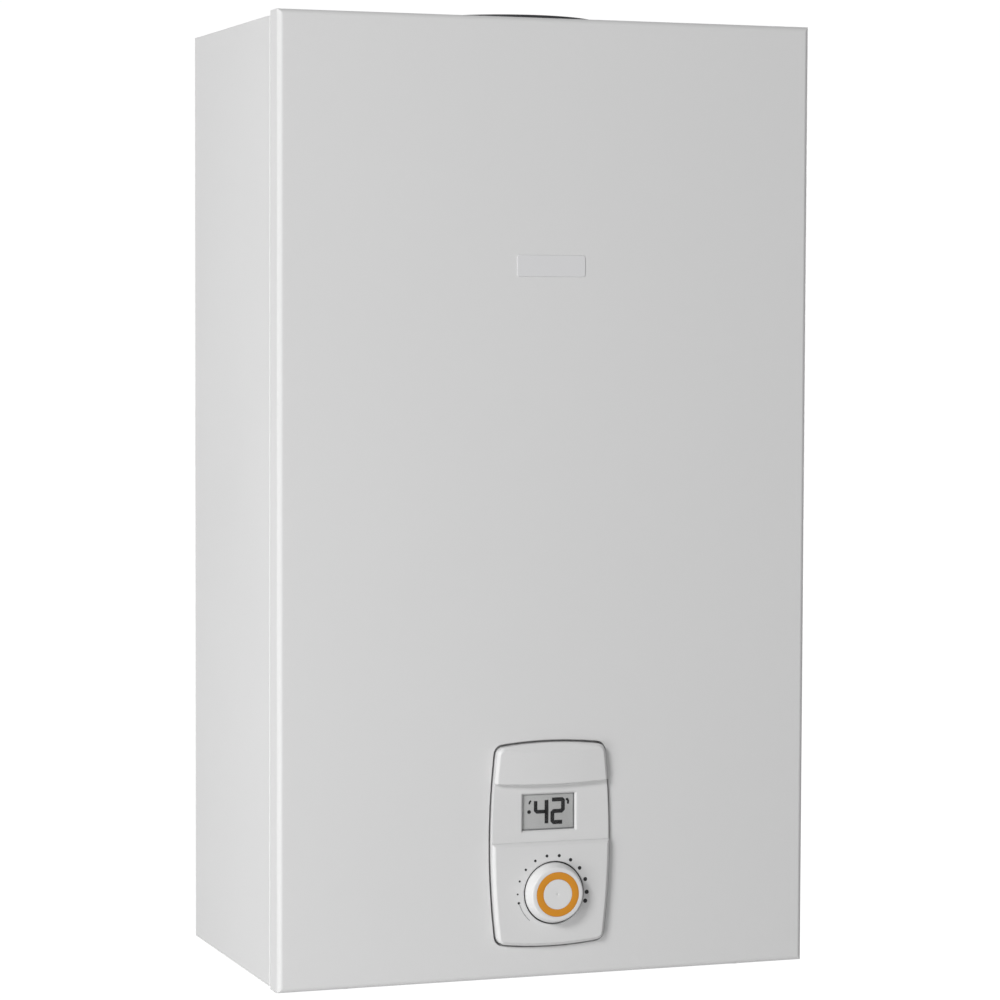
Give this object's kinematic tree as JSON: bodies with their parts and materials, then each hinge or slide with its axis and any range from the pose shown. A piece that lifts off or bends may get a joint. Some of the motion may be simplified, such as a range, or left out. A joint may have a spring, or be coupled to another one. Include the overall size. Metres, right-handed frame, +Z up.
{
  "type": "tankless gas water heater",
  "caption": "Wall-hung instantaneous gas water heater: a white sheet-metal box with a round flue collar on top and a small control panel with a display and a turning knob.",
  "frame": {"origin": "on the wall, midway between the two screws that the heater hangs on", "axes": "+X to the right as seen from the front, +Y into the wall, +Z up"},
  "size_m": [0.322, 0.1948, 0.5735],
  "materials": {
    "casing_white": "smooth white enamel, satin",
    "galvanised": "galvanised sheet",
    "panel_white": "moulded, fine satin",
    "knob_white": "moulded, satin",
    "orange": "moulded, satin",
    "bare_plate": "plain, satin",
    "window": "clear",
    "lcd": "grey display",
    "board_green": "lacquered board",
    "black_plastic": "moulded",
    "grey_plastic": "moulded",
    "copper": "bright copper",
    "brass": "turned brass",
    "stainless": "stamped stainless sheet",
    "flue_dark": "dark heat-proof coating",
    "cast_alloy": "die cast",
    "ceramic": "glazed ceramic",
    "lead_jacket": "insulated wire",
    "battery_cell": "plain battery jacket",
    "screw_steel": "zinc plated"
  },
  "bodies": {
    "chassis": {"back_panel": "galvanised", "batteries": "battery_cell", "battery_box": "grey_plastic", "battery_lid_hinge": "grey_plastic", "bezel_cap": "panel_white", "bottom_panel": "casing_white", "burner_blades": "stainless", "burner_frame": "galvanised", "casing_screws": "screw_steel", "cold_inlet_fitting": "brass", "cold_pipe": "copper", "control_bezel": "panel_white", "control_bracket": "galvanised", "control_housing": "grey_plastic", "control_pcb": "board_green", "display_window": "window", "drain_plug": "brass", "electrode_insulators": "ceramic", "electrode_plate": "galvanised", "electrode_rods": "stainless", "exchanger_brackets": "galvanised", "exchanger_fins": "copper", "exchanger_shell": "copper", "exchanger_tubes": "copper", "flow_sensor_housing": "black_plastic", "flue_collar": "flue_dark", "flue_hood": "galvanised", "gas_inlet_fitting": "brass", "gas_manifold": "cast_alloy", "gas_pipe": "cast_alloy", "gas_valve_body": "cast_alloy", "hot_outlet_fitting": "brass", "hot_pipe": "copper", "ignition_box": "black_plastic", "injectors": "brass", "jacket_coil": "copper", "lcd_module": "lcd", "leads": "lead_jacket", "left_side_panel": "casing_white", "modulating_coil": "black_plastic", "outlet_temperature_sensor": "stainless", "overheat_thermostat": "stainless", "potentiometer": "black_plastic", "return_bends": "copper", "right_side_panel": "casing_white", "shut_off_coil": "black_plastic", "spill_thermostat": "stainless", "top_panel": "casing_white", "union_nuts": "brass", "water_valve_body": "brass"},
    "front": {"front_panel": "casing_white", "front_badge": "bare_plate", "front_panel_screws": "screw_steel"},
    "knob_unit": {"knob": "knob_white", "knob_ring": "orange", "knob_spindle": "screw_steel"},
    "lid": {"battery_lid": "grey_plastic"},
    "rotor": {"flow_rotor": "grey_plastic"},
    "plunger": {"gas_plunger": "stainless"}
  },
  "joints": [
    {"name": "knob_turn", "type": "hinge", "parent": "chassis", "child": "knob_unit", "pos_m": [0.0025, -0.19, -0.4556], "axis": [0, 1, 0], "range_deg": [-145, 107]},
    {"name": "front_panel_off", "type": "slide", "parent": "chassis", "child": "front", "axis": [0, -1, 0], "range_m": [0, 0.22]},
    {"name": "battery_lid_open", "type": "hinge", "parent": "chassis", "child": "lid", "pos_m": [-0.108, -0.1063, -0.5061], "axis": [1, 0, 0], "range_deg": [0, 100]},
    {"name": "flow_rotor_spin", "type": "hinge", "parent": "chassis", "child": "rotor", "pos_m": [0.07, -0.05, -0.395], "axis": [0, 0, 1], "continuous": true},
    {"name": "plunger_pull", "type": "slide", "parent": "chassis", "child": "plunger", "axis": [0, -1, 0], "range_m": [0, 0.003], "stiffness_N_per_m": 200}
  ]
}
